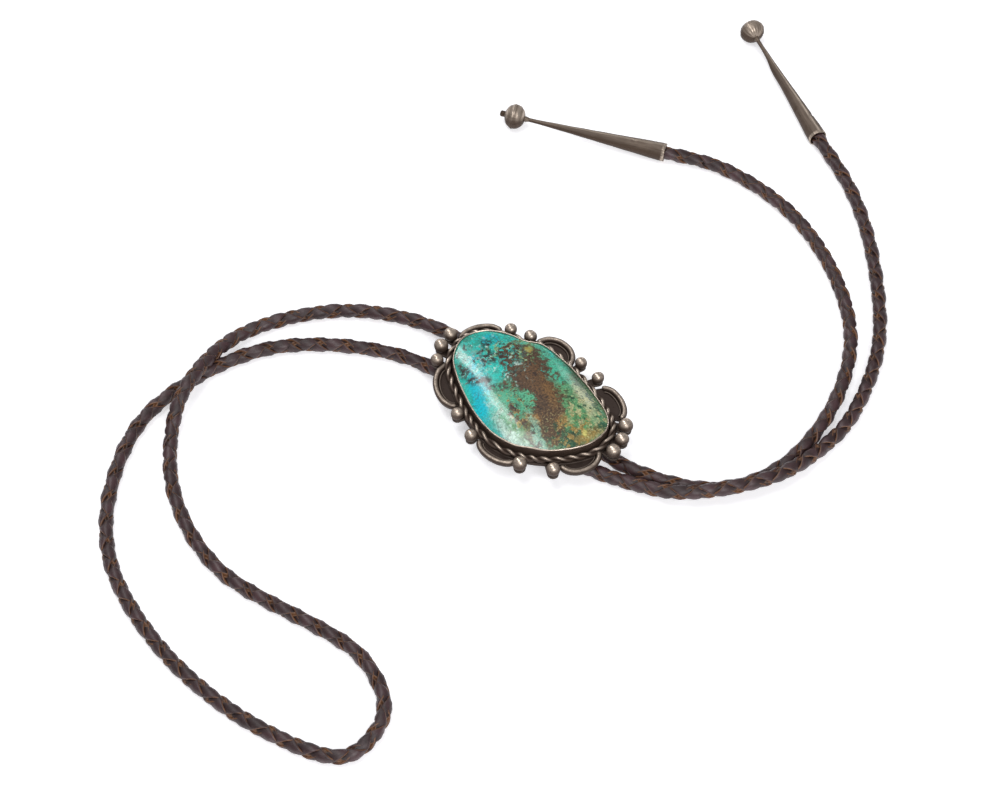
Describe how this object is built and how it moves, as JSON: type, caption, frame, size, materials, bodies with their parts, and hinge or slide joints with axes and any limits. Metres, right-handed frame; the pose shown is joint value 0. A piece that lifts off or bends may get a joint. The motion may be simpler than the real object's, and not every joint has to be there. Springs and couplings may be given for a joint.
{
  "type": "bolo tie",
  "caption": "Bolo tie: a braided leather cord with cone-shaped silver tips, and a silver slide that holds a freeform turquoise cabochon.",
  "frame": {"origin": "the middle of the flat back of the clip under the slide, on the surface that the tie lies on", "axes": "+Z out of the stone's face, away from the surface; +X to the right and +Y away from the viewer, with the slide's long axis at 45 degrees between +X and -Y"},
  "size_m": [0.2342, 0.2765, 0.0126],
  "materials": {
    "oxidised_silver": "dark oxidised silver, worn bright on its ridges and balls",
    "turquoise": "polished turquoise with green, tan and dark brown matrix",
    "clip_metal": "satin, a little tarnished",
    "braided_leather": "dark brown round braid of four flat laces with raw light brown edges",
    "tip_silver": "oxidised silver, smooth, with dark creases and small dents"
  },
  "bodies": {
    "root": {"setting": "oxidised_silver", "stone": "turquoise", "cord_clip": "clip_metal", "cord": "braided_leather", "tip_left": "tip_silver", "tip_right": "tip_silver"}
  },
  "joints": []
}
